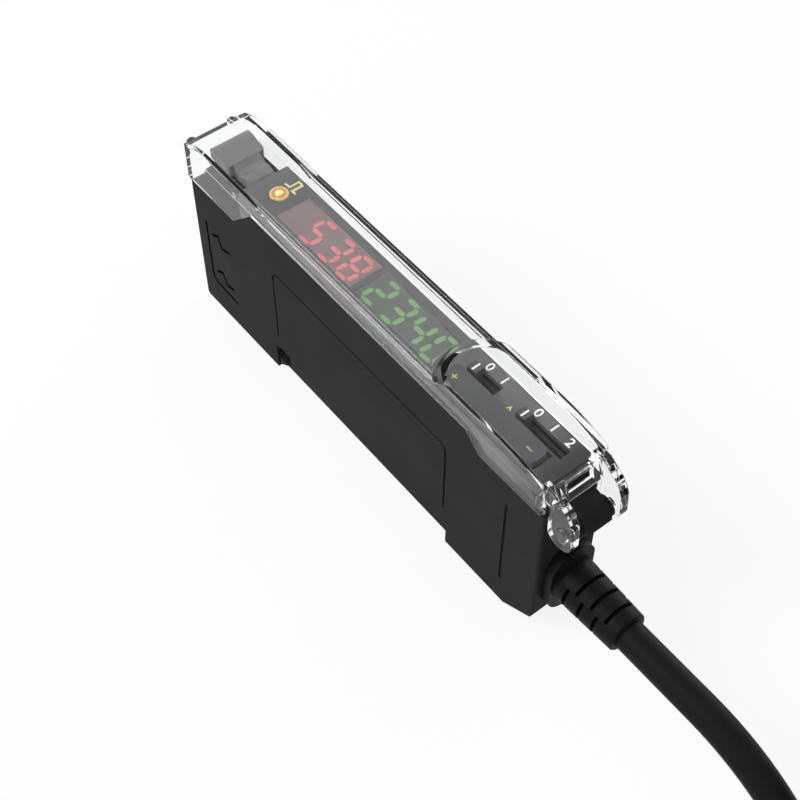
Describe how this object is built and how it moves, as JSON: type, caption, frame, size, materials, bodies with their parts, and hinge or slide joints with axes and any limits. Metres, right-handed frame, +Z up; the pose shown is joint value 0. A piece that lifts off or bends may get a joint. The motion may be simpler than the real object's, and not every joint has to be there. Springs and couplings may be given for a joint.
{
  "type": "fibre optic sensor amplifier",
  "caption": "Slim rail-mounted fibre optic sensor amplifier with a hinged clear cover, fibre clamp lever, twin digital displays, rocker and slide keys and a fixed cable.",
  "frame": {"origin": "centre of the underside of the amplifier, cable left out, on the plane of the feet", "axes": "+X from the fibre end to the cable end, +Y to the far side face, +Z up"},
  "size_m": [0.209, 0.0419, 0.033],
  "materials": {
    "shell": "fine satin moulding",
    "panel": "satin",
    "red_lens": "tinted, smooth",
    "green_lens": "tinted, smooth",
    "display": "matt",
    "lamp": "glossy",
    "board": "solder mask",
    "black_plastic": "satin",
    "clamp": "smooth",
    "emitter": "glossy",
    "pin_steel": "ground",
    "lever": "satin",
    "clear_cover": "clear, polished",
    "cable": "matt sheath",
    "tie": "smooth",
    "cores": "smooth insulation"
  },
  "bodies": {
    "base": {"housing": "shell", "side_cover": "shell", "top_panel": "panel", "red_window": "red_lens", "green_window": "green_lens", "red_display": "display", "green_display": "display", "output_led": "lamp", "display_board": "board", "main_board": "board", "board_header": "black_plastic", "board_components": "black_plastic", "fibre_block": "black_plastic", "tact_switches": "black_plastic", "output_switch_body": "black_plastic", "mode_switch_body": "black_plastic", "receiver_diode": "black_plastic", "emitter_led": "emitter", "lever_pin": "pin_steel", "cable_boot": "cable", "cable_run": "cable", "cable_coil": "cable", "coil_tie": "tie", "core_wires": "cores", "wire_leads": "cores"},
    "cover": {"dust_cover": "clear_cover"},
    "lever": {"clamp_lever": "lever"},
    "clamp": {"clamp_bar": "clamp"},
    "output_knob": {"output_slider": "black_plastic"},
    "mode_knob": {"mode_slider": "black_plastic"},
    "set_key": {"set_plunger": "black_plastic"},
    "rocker": {"rocker_button": "black_plastic"}
  },
  "joints": [
    {"name": "cover_hinge", "type": "hinge", "parent": "base", "child": "cover", "pos_m": [0.03695, 0, 0.0247], "axis": [0, 1, 0], "range_deg": [0, 115]},
    {"name": "lever_pivot", "type": "hinge", "parent": "base", "child": "lever", "pos_m": [-0.02955, 0, 0.0272], "axis": [0, 1, 0], "range_deg": [0, 70]},
    {"name": "clamp_lift", "type": "slide", "parent": "base", "child": "clamp", "axis": [0, 0, 1], "range_m": [0, 0.0006]},
    {"name": "output_slide", "type": "slide", "parent": "base", "child": "output_knob", "axis": [1, 0, 0], "range_m": [0, 0.0033]},
    {"name": "mode_slide", "type": "slide", "parent": "base", "child": "mode_knob", "axis": [1, 0, 0], "range_m": [0, 0.0062]},
    {"name": "set_press", "type": "slide", "parent": "base", "child": "set_key", "axis": [0, 0, -1], "range_m": [0, 0.0003], "stiffness_N_per_m": 400},
    {"name": "rocker_tilt", "type": "hinge", "parent": "set_key", "child": "rocker", "pos_m": [0.0215, -0.00175, 0.029], "axis": [0, 1, 0], "range_deg": [-3, 3], "stiffness_Nm_per_rad": 0.02}
  ],
  "couplings": [
    {"joint": "lever_pivot", "follows": "cover_hinge", "ratio": 0.6086},
    {"joint": "clamp_lift", "follows": "cover_hinge", "m_per_rad": 0.0002989}
  ]
}
